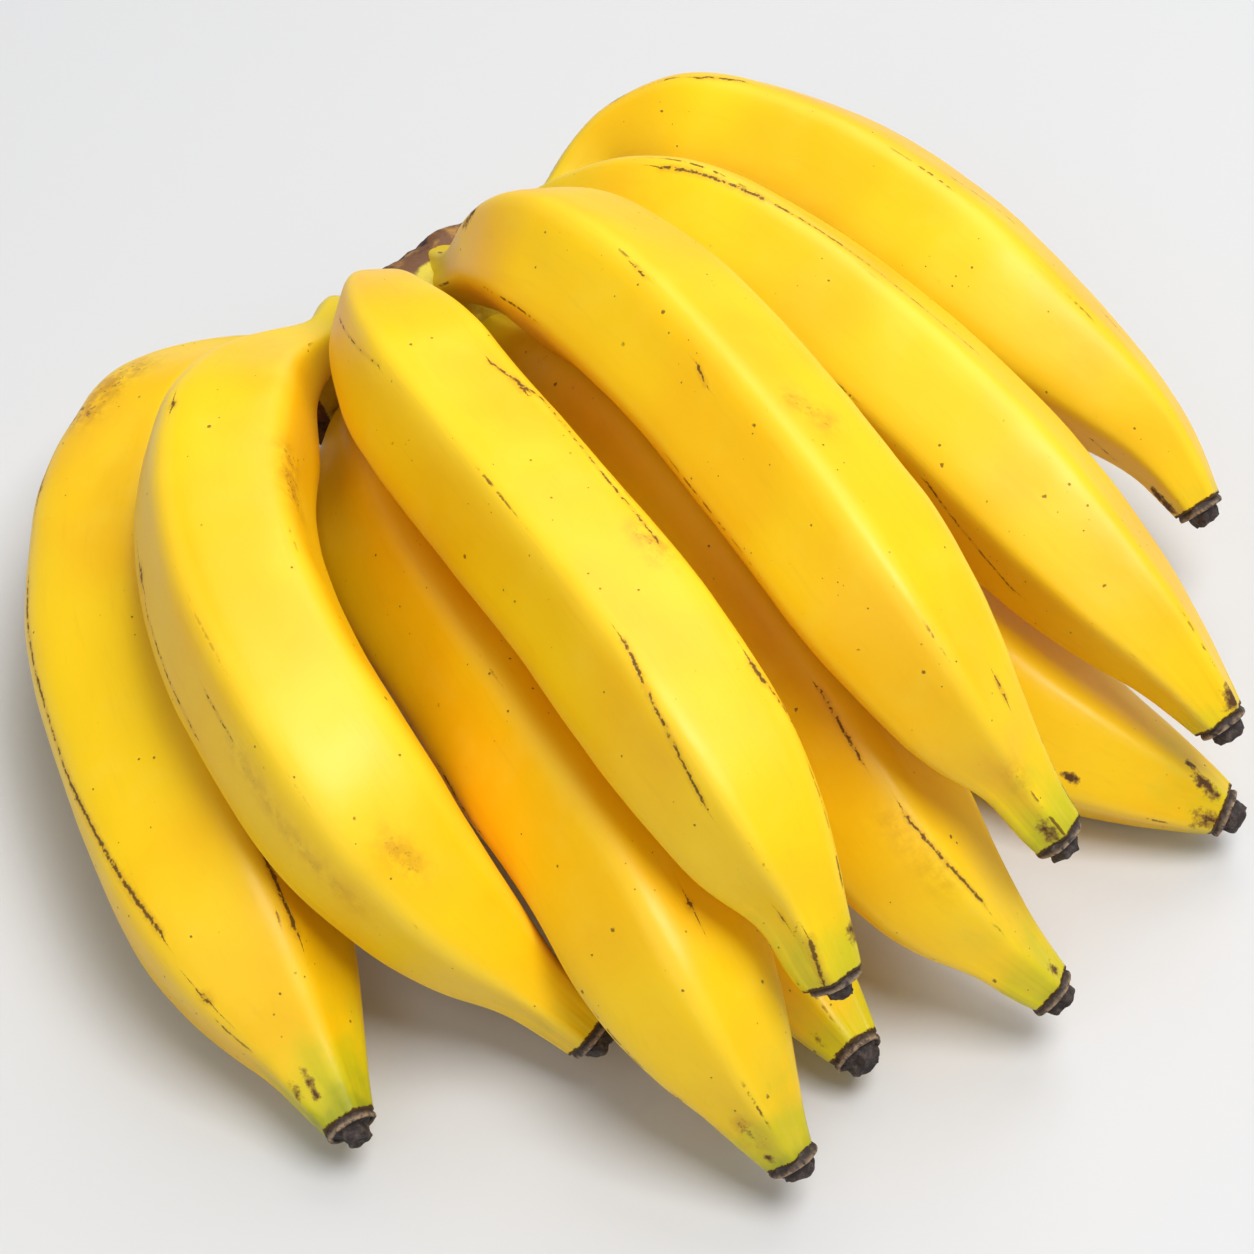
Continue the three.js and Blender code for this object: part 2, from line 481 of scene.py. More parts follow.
@dataclass(frozen=True)
class PeelFinish:
    """Ripe banana peel: warm yellow, a painted highlight along the ridges, green blossom ends, brown
    freckles and scars.

    Attributes:
        yellow, deep, pale: The body's colour, its slow darker clouds, and the paler colour of its mist and
            of the painted highlight along its ridges.
        lime, leaf: The outer and inner green of a blossom end.
        stalk: The yellow-green of a stalk.
        amber, umber, bark: Halos and bruises, scars and freckles, and scuffs.
        roughness: How matt the clean peel is.
        bending: Its index of refraction.
        freckles: Pitch in millimetres, radius in pitches, and rarity of each size of freckle.
        hollows, threads, pores, pits: Depths of the four layers of bump in millimetres.
    """

    yellow: Colour = tone(250, 205, 9)
    deep: Colour = tone(247, 192, 5)
    pale: Colour = tone(252, 216, 62)
    lime: Colour = tone(196, 190, 18)
    leaf: Colour = tone(112, 132, 22)
    stalk: Colour = tone(214, 192, 36)
    amber: Colour = tone(190, 122, 14)
    umber: Colour = tone(72, 36, 8)
    bark: Colour = tone(112, 72, 34)
    roughness: float = 0.43
    bending: float = 1.44
    freckles: tuple[Triple, ...] = ((7.0, 0.05, 0.52), (3.0, 0.075, 0.72), (1.5, 0.09, 0.84))
    hollows: float = 0.10
    threads: float = 0.025
    pores: float = 0.010
    pits: float = 0.10

    def material(self) -> bpy.types.Material:
        """Wire the peel.

        Returns:
            The material shared by all fingers; each finger's seed shifts its patterns.
        """
        s = Shader("ripe_peel")
        place = s.seeded(s.position())
        fibre = s.seeded(s.painted("fibre", vector=True))
        off_ridge, crest, _ = s.parts(s.painted("ridge", vector=True))
        cloud = s.noise(place, 38.0, 2.0)
        mist = s.noise(place, 12.0, 3.0, 0.6)
        grain = s.noise(fibre, 1.6, 3.0, 0.6)
        colour = s.blend(s.fade(cloud, 0.38, 0.66), self.yellow, self.deep)
        colour = s.blend(s.fade(mist, 0.5, 0.8, 0.25), colour, self.pale)
        # Painted highlight: every ridge is mixed towards the pale colour, whichever way it faces.
        colour = s.blend(s.fade(crest, 0.55, 1.0, 0.3), colour, self.pale)
        colour = s.blend(s.fade(grain, 0.52, 0.8, 0.07), colour, self.amber)
        colour = self._green(s, colour, mist, grain)
        colour, dots = self._freckles(s, colour, place)
        colour, worn = self._wear(s, colour, place)
        line = self._ridge_lines(s, place, fibre, off_ridge, crest)
        colour, cuts = self._scars(s, colour, place, line)
        satin = s.plus(s.fade(mist, 0.3, 0.8, 0.08), self.roughness - 0.04)
        bump = s.relief(s.noise(place, 8.0, 2.0), self.hollows)
        bump = s.relief(grain, self.threads, bump)
        bump = s.relief(s.noise(place, 0.8, 2.0), self.pores, bump)
        bump = s.relief(s.math("SUBTRACT", 1.0, s.larger(dots, cuts)), self.pits, bump)
        s.feed(s.surface, {
            "Base Color": colour, "Roughness": s.plus(satin, s.times(s.larger(cuts, worn), 0.3)),
            "Normal": bump, "IOR": self.bending,
        })
        return s.material

    def _green(self, s: Shader, colour: Feed, mist: Feed, grain: Feed) -> Socket:
        """Lay the green of the blossom end and the yellow-green of the stalk over the yellow.

        Args:
            s: The material being wired.
            colour: The colour underneath.
            mist: Noise that makes the green's edge ragged.
            grain: Noise along the fibres that streaks it.

        Returns:
            The colour.
        """
        streaked = s.swayed(s.swayed(s.painted("green"), mist, 0.7), grain, 0.15)
        colour = s.blend(s.fade(streaked, 0.15, 0.8, 0.8), colour, self.lime)
        colour = s.blend(s.fade(streaked, 0.7, 1.15, 0.85), colour, self.leaf)
        return s.blend(s.fade(s.painted("stalk"), 0.1, 0.9, 0.7), colour, self.stalk)

    def _freckles(self, s: Shader, colour: Feed, place: Feed) -> tuple[Socket, Socket]:
        """Scatter tiny brown freckles, and thicker swarms of them where a slow cloud is high.

        Args:
            s: The material being wired.
            colour: The colour underneath.
            place: Position on the piece.

        Returns:
            The colour, and the freckles as a height mask.
        """
        swarm = s.noise(s.moved(place, (3.1, 1.7, 0.4)), 26.0, 2.0)
        edge = s.times(s.math("SUBTRACT", s.noise(place, 0.6, 1.0), 0.5), 0.10)
        total: Feed = 0.0
        for pitch, size, rarity in self.freckles:
            distance, chance = s.cells(place, pitch)
            dot = s.fade(s.plus(distance, edge), size * 1.4, size * 0.7)
            odds = s.swayed(chance, swarm, 0.6)
            total = s.larger(total, s.times(dot, s.fade(odds, rarity, rarity + 0.06)))
        return s.blend(s.times(total, 0.75), colour, self.umber), total

    def _wear(self, s: Shader, colour: Feed, place: Feed) -> tuple[Socket, Socket]:
        """Lay the finger's bruises and scuffs: soft amber clouds and dark ragged patches.

        Args:
            s: The material being wired.
            colour: The colour underneath.
            place: Position on the piece.

        Returns:
            The colour, and the scuffs as a mask.
        """
        rags = s.noise(place, 1.2, 3.0, 0.65)
        spread = s.noise(place, 3.2, 3.0, 0.65)
        bruise = s.times(s.painted("bruise"), s.fade(spread, 0.32, 0.66))
        colour = s.blend(s.times(bruise, 0.7), colour, self.amber)
        speck = s.times(s.fade(rags, 0.56, 0.64), s.fade(s.painted("bruise"), 0.3, 0.9, 0.6))
        colour = s.blend(speck, colour, self.bark)
        torn = s.times(s.math("SUBTRACT", s.plus(rags, spread), 1.0), 1.1)
        scuff = s.plus(s.painted("scuff"), torn)
        colour = s.blend(s.fade(scuff, 0.35, 0.75, 0.8), colour, self.bark)
        return s.blend(s.fade(scuff, 0.66, 0.9, 0.9), colour, self.umber), s.fade(scuff, 0.4, 0.8)

    def _ridge_lines(self, s: Shader, place: Feed, fibre: Feed, off_ridge: Feed, crest: Feed) -> Socket:
        """Break a thin brown line along each ridge into dashes.

        Args:
            s: The material being wired.
            place: Position on the piece.
            fibre: Position stretched along the finger.
            off_ridge: Distance from the nearest ridge in millimetres.
            crest: 1 on a ridge, -1 in the middle of a face.

        Returns:
            The lines as a mask.
        """
        dashes = s.times(
            s.fade(s.noise(s.moved(fibre, (7.0, 0.0, 0.0)), 5.0, 2.0), 0.56, 0.66),
            s.fade(s.noise(place, 2.4, 2.0, 0.6), 0.44, 0.56),
        )
        band = s.swayed(s.math("ABSOLUTE", off_ridge), s.noise(place, 0.9, 3.0, 0.65), 0.5)
        return s.times(s.times(s.fade(band, 0.34, 0.12), s.fade(crest, 0.0, 0.5)), dashes)

    def _scars(self, s: Shader, colour: Feed, place: Feed, line: Feed) -> tuple[Socket, Socket]:
        """Lay the ridge lines, the torn edge at the flower and the finger's own scars.

        Args:
            s: The material being wired.
            colour: The colour underneath.
            place: Position on the piece.
            line: Mask of the ridge lines.

        Returns:
            The colour, and the scars as a height mask.
        """
        rags = s.noise(place, 0.9, 3.0, 0.65)
        gaps = s.noise(place, 2.4, 2.0, 0.6)
        broken = s.noise(s.moved(place, (0.9, 0.2, 0.6)), 1.7, 2.0, 0.6)
        side, gate, _ = s.parts(s.painted("scar", vector=True))
        across = s.swayed(s.math("ABSOLUTE", s.swayed(side, gaps, 2.2)), rags, 2.6)
        scar = s.times(s.fade(across, 1.0, 0.3), s.fade(s.swayed(gate, broken, 2.4), 0.5, 0.8, 0.9))
        halo = s.times(s.fade(across, 3.0, 0.4), s.times(gate, 0.4))
        torn = s.fade(s.swayed(s.painted("edge"), rags, 0.9), 0.5, 0.7)
        core = s.larger(s.larger(scar, s.times(line, 0.8)), torn)
        colour = s.blend(s.larger(halo, s.times(line, 0.5)), colour, self.amber)
        return s.blend(s.times(core, 0.96), colour, self.umber), core


@dataclass(frozen=True)
class DriedFlowerFinish:
    """The black-brown, crumbled flower at a blossom end, with a thin tan torn rim.

    Attributes:
        char, ash, tan: The dark of the crust, its greyer hills, and the torn rim.
        roughness: How matt it is.
    """

    char: Colour = tone(44, 34, 32)
    ash: Colour = tone(92, 78, 70)
    tan: Colour = tone(168, 140, 108)
    roughness: float = 0.7

    def material(self) -> bpy.types.Material:
        """Wire the dried flower.

        Returns:
            The material for all the flower remnants.
        """
        s = Shader("dried_flower")
        place = s.seeded(s.position())
        crust = s.noise(place, 1.6, 4.0, 0.7)
        rim = s.times(s.painted("rim"), s.fade(s.noise(place, 1.0, 2.0), 0.3, 0.6))
        colour = s.blend(s.fade(crust, 0.42, 0.75), self.char, self.ash)
        colour = s.blend(rim, colour, self.tan)
        bump = s.relief(s.noise(place, 0.5, 2.0), 0.12, s.relief(crust, 0.5))
        s.feed(s.surface, {"Base Color": colour, "Roughness": self.roughness, "Normal": bump})
        return s.material


@dataclass(frozen=True)
class CrownFinish:
    """The crown: dry mottled brown rind outside, and the cut yellow-green flesh by the stalks.

    Attributes:
        rind, plum, straw: The rind's brown, its dark blots and its dry pale patches.
        flesh: The cut flesh.
        roughness: How matt it is.
    """

    rind: Colour = tone(110, 72, 44)
    plum: Colour = tone(56, 34, 30)
    straw: Colour = tone(172, 126, 58)
    flesh: Colour = tone(214, 196, 60)
    roughness: float = 0.66

    def material(self) -> bpy.types.Material:
        """Wire the crown.

        Returns:
            The crown's material.
        """
        s = Shader("crown_rind")
        place = s.position()
        patch = s.noise(place, 6.0, 4.0, 0.65)
        blot = s.noise(s.moved(place, (0.3, 0.1, 0.7)), 4.0, 3.0, 0.6)
        fine = s.noise(place, 0.9, 3.0, 0.6)
        colour = s.blend(s.fade(patch, 0.5, 0.68), self.rind, self.straw)
        colour = s.blend(s.fade(blot, 0.5, 0.66), colour, self.plum)
        colour = s.blend(s.fade(fine, 0.62, 0.8, 0.4), colour, self.plum)
        ragged = s.swayed(s.math("SUBTRACT", 1.0, s.painted("rind")), patch, 0.7)
        colour = s.blend(s.fade(ragged, 0.45, 0.62), colour, self.flesh)
        bump = s.relief(fine, 0.18, s.relief(patch, 0.7))
        s.feed(s.surface, {"Base Color": colour, "Roughness": self.roughness, "Normal": bump})
        return s.material


@dataclass
class Finger:
    """One banana: stalk, body and blossom end in one skin.

    Attributes:
        number: Its number in the hand.
        path: Control points of its centreline, root first.
        girth: Greatest radius.
        swell: Length over which the stalk swells into the body.
        taper: Length over which the body narrows to the blossom end.
        blunt: How blunt that taper is; higher is more bottle-necked.
        turn: Turn of its five faces about the centreline, in degrees.
        green: How green its blossom end is, 0 to 1.
        marks: Its own blemishes.
        neck, neck_length: Radius of the stalk, and its length before it swells.
        tip: Radius at the blossom end.
        middle, fall_off: Share of the length that stays thickest, and how fast it thins from there.
        rounding: Exponent of the rounded pentagon; higher is more angular.
        soft_root, soft_tip: Runs from the two ends over which the pentagon eases to its middle form.
        stem, stem_fade: Where ridges and hollows begin from the root, and the run over which they grow.
        crisp: How crisp its ridges are.
        keel, keel_width: Height and half width of the crest along a ridge.
        pinch: Depth of the waist behind the blossom end.
        pinch_side: Degrees round from the crest where that waist is deepest.
        waist, waist_length: Distance of the waist from the blossom end, and half its length.
        stub: Width of its dried flower's button, as a share of the flower's foot.
        hollows, ripples: Depth and pitch of the long hollows and of the short ones.
        flare, flare_length: How much wider the stalk's foot is in the crown, and how far that reaches.
        green_length, stalk_length, edge_length: Reach of each end's colours along the skin.
        stretch: How many times longer than wide the fibres' pattern is.
        rings, columns: Fineness of the grid.
    """

    number: int
    path: list[Triple]
    girth: float
    swell: float
    taper: float
    blunt: float
    turn: float
    green: float = 0.6
    marks: tuple[Blemish, ...] = ()
    neck: float = 5.2
    neck_length: float = 10.0
    tip: float = 5.0
    middle: float = 0.58
    fall_off: float = 0.3
    rounding: float = 7.0
    soft_root: float = 60.0
    soft_tip: float = 70.0
    stem: float = 20.0
    stem_fade: float = 30.0
    crisp: float = 1.0
    keel: float = 0.16
    keel_width: float = 1.6
    pinch: float = 0.3
    pinch_side: float = 100.0
    waist: float = 14.0
    waist_length: float = 8.0
    stub: float = 0.9
    hollows: tuple[float, float] = (0.45, 48.0)
    ripples: tuple[float, float] = (0.08, 14.0)
    flare: float = 2.2
    flare_length: float = 8.0
    green_length: float = 14.0
    stalk_length: float = 24.0
    edge_length: float = 0.8
    stretch: float = 9.0
    rings: int = 300
    columns: int = 140

    def radius(self, along: Array, length: float) -> Array:
        """Give the mean radius: stalk plus an eased swell, a sine taper, a slow thinning from the middle.

        Args:
            along: Distance of each ring from the root.
            length: Length of the finger.

        Returns:
            Mean radius of each ring.
        """
        swollen = ease((along - self.neck_length) / self.swell)
        body = self.neck + (self.girth - self.neck) * swollen
        left = np.clip((length - along) / self.taper, 0.0, 1.0)
        radius = self.tip + (body - self.tip) * np.sin(left * np.pi / 2.0) ** self.blunt
        return radius * (1.0 - self.fall_off * (along / length - self.middle) ** 2 * swollen)

    def section(self, around: Array, sharp: Array) -> Array:
        """Give the rounded pentagon: the p-norm of the five face distances, with mean square radius one.

        Args:
            around: Angles from the first face in radians.
            sharp: The exponent p of each ring.

        Returns:
            Radius factor for each ring and column.
        """
        faces = np.arange(RIDGES) * 2.0 * np.pi / RIDGES
        reach = np.maximum(np.cos(around[:, None] - faces), 0.0)
        outline = (reach[None] ** sharp[:, None, None]).sum(-1) ** (-1.0 / sharp[:, None])
        return outline / np.sqrt((outline**2).mean(1, keepdims=True))

    def skin(self) -> Skin:
        """Shape the finger.

        Every ring is the section times the radius, with a crisp crest on each ridge, a waist behind
        the blossom end, long shallow hollows, fine pleats towards both ends, and a flared foot.

        Returns:
            The closed skin with the values its finish reads.
        """
        share = np.linspace(0.0, 1.0, self.rings)
        centre, _, normal, binormal, length = Centreline(self.path).stations(share)
        along = share * length
        turn = np.radians(self.turn)
        around = turn + np.pi / RIDGES + np.arange(self.columns) * 2.0 * np.pi / self.columns
        mean = self.radius(along, length)
        tight = np.minimum(along / self.soft_root, (length - along) / self.soft_tip).clip(0.0, 1.0)
        sharp = self.rounding + self.crisp * (1.5 - ease(tight))
        from_ridge = around - turn - np.pi / RIDGES
        crest = np.cos(RIDGES * from_ridge)[None, :] * np.ones((self.rings, 1))
        off_ridge = np.sin(RIDGES * from_ridge)[None, :] * mean[:, None] / RIDGES
        out = mean[:, None] * self.section(around - turn, sharp)
        direction = outward(normal, binormal, around)
        spot = centre[:, None] + direction * out[:, :, None]
        body = ease((along - self.stem) / self.stem_fade)[:, None]
        keel = np.exp(-((off_ridge / self.keel_width) ** 2)) * (crest > 0.0)
        out = out + self.crisp * body * (self.keel * keel - 0.03)
        waist = np.exp(-(((length - along - self.waist) / self.waist_length) ** 2))[:, None]
        inner = 0.5 + 0.5 * np.cos(around - np.radians(self.pinch_side))[None, :]
        out = out - self.pinch * waist * inner
        (deep, wide), (shallow, short) = self.hollows, self.ripples
        hollows, ripples = swells(spot, wide, self.number), swells(spot, short, RIPPLE_SEED + self.number)
        out = out + deep * hollows * body + shallow * ripples
        out = out + self._pleats(along, around, length)
        out = out + (self.flare * np.exp(-((along / self.flare_length) ** 2)))[:, None]
        rings = centre[:, None] + direction * out[:, :, None]
        values = self._marks(along, around, mean, length)
        to_tip = (length - along)[:, None] + 2.5 * swells(spot, 9.0, TIP_SEED + self.number)
        whole = np.ones_like(out)
        values["green"] = self.green * np.exp(-((to_tip / self.green_length).clip(0.0) ** 1.5))
        values["edge"] = np.exp(-(((length - along) / self.edge_length) ** 2))[:, None] * whole
        values["stalk"] = np.exp(-((along / self.stalk_length) ** 2))[:, None] * whole
        values["ridge"] = np.stack([off_ridge, crest, np.zeros_like(crest)], -1)
        values["seed"] = whole * self.number * FINGER_SEED
        circle = np.stack([np.cos(around), np.sin(around)], -1)[None] * out[:, :, None]
        lengthwise = np.broadcast_to(along[:, None, None] / self.stretch, (*out.shape, 1))
        values["fibre"] = np.concatenate([circle, lengthwise], -1) * MM
        return Skin(f"banana_skin_{self.number}", rings, centre[0], rings[-1].mean(0), values)

    def _pleats(self, along: Array, around: Array, length: float) -> Array:
        """Give fine lengthwise wrinkles: two sines round the finger that die away from both ends.

        Args:
            along: Distance of each ring from the root.
            around: Angle of each column in radians.
            length: Length of the finger.

        Returns:
            Height for each ring and column.
        """
        ends = np.exp(-(((length - along) / 11.0) ** 2)) + 0.8 * np.exp(-((along / 26.0) ** 2))
        coarse = np.sin(around * 13.0 + self.number)[None, :] * 0.05
        fine = np.sin(around * 29.0 + 2.0)[None, :] * 0.02
        return ends[:, None] * (coarse + fine) * (0.6 + 0.4 * np.sin(along / 5.0))[:, None]

    def _marks(
        self, along: Array, around: Array, mean: Array, length: float
    ) -> dict[str, Array]:
        """Lay the finger's marks over the skin.

        Bruises and scuffs are bells over the distance in half widths, the strongest winning. Scars
        keep the signed distance to the nearest one and its strength, faded past its ends.

        Args:
            along: Distance of each ring from the root.
            around: Angle of each column in radians.
            mean: Mean radius of each ring.
            length: Length of the finger.

        Returns:
            The values bruise, scuff and scar.
        """
        fields = {kind: np.zeros((self.rings, self.columns)) for kind in Mark}
        side = np.full((self.rings, self.columns), NO_SCAR)
        for mark in self.marks:
            reach = mark.reach(along, around, mean, length)
            if mark.kind is Mark.SCAR:
                nearer = np.abs(reach) < np.abs(side)
                side = np.where(nearer, reach, side)
                close = mark.strength * np.exp(-((reach / SCAR_REACH) ** 2))
                fields[mark.kind] = np.where(nearer, close, fields[mark.kind])
            else:
                fields[mark.kind] = np.maximum(fields[mark.kind], mark.strength * np.exp(-0.5 * reach**2))
        scar = np.stack([side, fields.pop(Mark.SCAR), np.zeros_like(side)], -1)
        return {"scar": scar, **{kind.value: grid for kind, grid in fields.items()}}

    def tip_frame(self) -> tuple[Array, Array]:
        """Give the middle of the blossom end and the direction it faces."""
        centre, tangent, _, _, _ = Centreline(self.path).stations(np.array([1.0]))
        return centre[0], tangent[0]


@dataclass
class DriedFlower:
    """The dried remnant of the flower on a blossom end: a torn rim round a shrivelled button.

    Attributes:
        finger: The finger it stands on.
        profile: Radius and height of its outline, from the foot over the rim to the button's top.
        rim, rim_width: Index of the profile's point at the torn rim, and half the rim's width.
        lip, well: Indexes of the points at the rim's inner lip and in the well round the button.
        rings, columns: Fineness of the grid.
    """

    finger: Finger
    profile: tuple[tuple[float, float], ...] = (
        (4.1, -0.7), (4.6, 0.1), (4.85, 0.8), (4.75, 1.35), (4.35, 1.5), (3.95, 1.15), (3.75, 0.8),
        (3.6, 1.2), (3.45, 2.5), (3.1, 3.7), (2.1, 4.2), (1.2, 3.8), (0.15, 3.5),
    )
    rim: int = 3
    rim_width: float = 0.55
    lip: int = 4
    well: int = 6
    rings: int = 56
    columns: int = 72

    def skin(self) -> Skin:
        """Shape the flower: the outline turned about the finger's axis, crumpled by lobes and hills.

        Returns:
            The closed skin with its rim painted.
        """
        foot, axis = self.finger.tip_frame()
        side = np.cross(axis, CREST)
        side /= np.linalg.norm(side)
        up = np.cross(side, axis)
        outline = np.array(self.profile)
        run = np.concatenate([[0.0], np.cumsum(np.linalg.norm(np.diff(outline, axis=0), axis=1))])
        step = np.linspace(0.0, run[-1], self.rings)
        radius, height = np.interp(step, run, outline[:, 0]), np.interp(step, run, outline[:, 1])
        around = np.linspace(0.0, 2.0 * np.pi, self.columns, endpoint=False)
        seed = self.finger.number
        dice = np.random.default_rng(LOBE_SEED + seed)
        button = ease((step - run[self.lip]) / 3.0)[:, None]
        lobes = sum(
            dice.uniform(0.03, 0.09) * np.cos(k * around + dice.uniform(0.0, 6.28)) for k in (2, 3, 5)
        )
        narrowed = 1.0 - (1.0 - self.finger.stub) * ease(step - run[self.well])[:, None]
        out = radius[:, None] * narrowed * (1.0 + (0.25 + 0.9 * button) * lobes[None, :])
        circle = side * np.cos(around)[:, None] + up * np.sin(around)[:, None]
        spot = foot + circle[None] * out[:, :, None] + axis * height[:, None, None]
        crumple = 0.32 * swells(spot, 2.6, CRUMPLE_SEED + seed) + 0.14 * swells(spot, 1.2, CRUMB_SEED + seed)
        out = out + crumple * (0.35 + 0.65 * button) * (radius / 4.0).clip(0.0, 1.0)[:, None]
        bumps = 0.35 * button * swells(spot, 3.0, BUTTON_SEED + seed)
        rise = height[:, None] + bumps * ease(radius / 2.0)[:, None]
        lean = np.array([dice.uniform(-0.5, 0.5), dice.uniform(-0.5, 0.5)])
        drift = (side * lean[0] + up * lean[1]) * ease(height / 5.0)[:, None]
        rings = foot + circle[None] * out[:, :, None] + axis * rise[:, :, None] + drift[:, None]
        rim = np.exp(-(((step - run[self.rim]) / self.rim_width) ** 2))[:, None] * np.ones_like(out)
        values = {"rim": rim, "seed": np.full_like(out, seed * FLOWER_SEED)}
        return Skin(f"dried_flower_{seed}", rings[:, ::-1], rings[0].mean(0), rings[-1].mean(0), values)


@dataclass
class Crown:
    """The woody pad that all the stalks grow out of.

    Attributes:
        path: Control points of its middle line, left end first.
        half_height: Half its height.
        front: Reach of its front face from the middle line.
        back: Reach of its cut back face.
        corner: Superellipse exponent of its section.
        sunk: How far the cut face lies below the rind.
        folds: Depth and pitch of the three layers of crumpling.
        rings, columns: Fineness of the grid.
    """

    path: list[Triple] = field(default_factory=lambda: [
        (-68, 58, 27), (-57, 65, 30), (-46, 75, 34), (-36, 84, 34), (-26, 92, 33), (-15, 101, 32),
    ])
    half_height: float = 16.4
    front: float = 8.6
    back: float = 8.4
    corner: float = 3.4
    sunk: float = 1.4
    folds: tuple[tuple[float, float], ...] = ((0.7, 14.0), (0.35, 4.5), (0.15, 2.0))
    rings: int = 150
    columns: int = 120

    def skin(self) -> Skin:
        """Shape the crown: a superellipse carried along its line, hollowed at the cut and crumpled.

        Returns:
            The closed skin with its dry rind painted.
        """
        share = 0.5 - 0.5 * np.cos(np.linspace(0.0, np.pi, self.rings))
        centre, _, normal, binormal, _ = Centreline(self.path).stations(share)
        around = np.linspace(0.0, 2.0 * np.pi, self.columns, endpoint=False)
        end = np.abs(2.0 * share - 1.0)
        full = np.sqrt(1.0 - end**6)[:, None].clip(0.02)
        depth = np.where(np.sin(around) > 0.0, self.front, self.back)
        up = (np.abs(np.cos(around)) / self.half_height) ** self.corner
        across = (np.abs(np.sin(around)) / depth) ** self.corner
        out = ((up + across) ** (-1.0 / self.corner))[None] * full
        direction = outward(normal, binormal, around)
        spot = centre[:, None] + direction * out[:, :, None]
        out = out - self.sunk * ease(-np.sin(around) * 2.2 - 0.9)[None] * full
        layers = enumerate(self.folds, start=CROWN_SEED)
        out = out + full * sum(high * swells(spot, pitch, seed) for seed, (high, pitch) in layers)
        rings = centre[:, None] + direction * out[:, :, None]
        rind = ease(0.55 - 1.1 * np.sin(around))[None] * np.ones_like(out)
        rind = np.maximum(rind, ease((end - 0.8) / 0.1)[:, None])
        return Skin("crown_pad", rings, rings[0].mean(0), rings[-1].mean(0), {"rind": rind})


@dataclass
class Hand:
    """The whole hand: crown, fingers and dried flowers.

    Attributes:
        fingers: The ten fingers, each with its dried flower.
        crown: The crown.
    """

    fingers: list[Finger]
    crown: Crown = field(default_factory=Crown)

    def build(self) -> None:
        """Build every piece, dress it, and put it in the place of its frame node."""
        peel = PeelFinish().material()
        flower = DriedFlowerFinish().material()
        rind = CrownFinish().material()
        self._place(self.crown.skin(), rind, "crown")
        for finger in self.fingers:
            self._place(finger.skin(), peel, f"banana_{finger.number}")
            self._place(DriedFlower(finger).skin(), flower, f"flower_end_{finger.number}")

    def _place(self, skin: Skin, finish: bpy.types.Material, node: str) -> None:
        """Write one skin, dress it and let it ride in place of its node.

        Args:
            skin: The shape.
            finish: Its material.
            node: The frame node that it stands for.
        """
        piece = skin.build()
        piece.data.materials.append(finish)
        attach(piece, BODY)
        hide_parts(node)
        LOG.info("%s: %d faces, stands for %s", piece.name, len(piece.data.polygons), node)


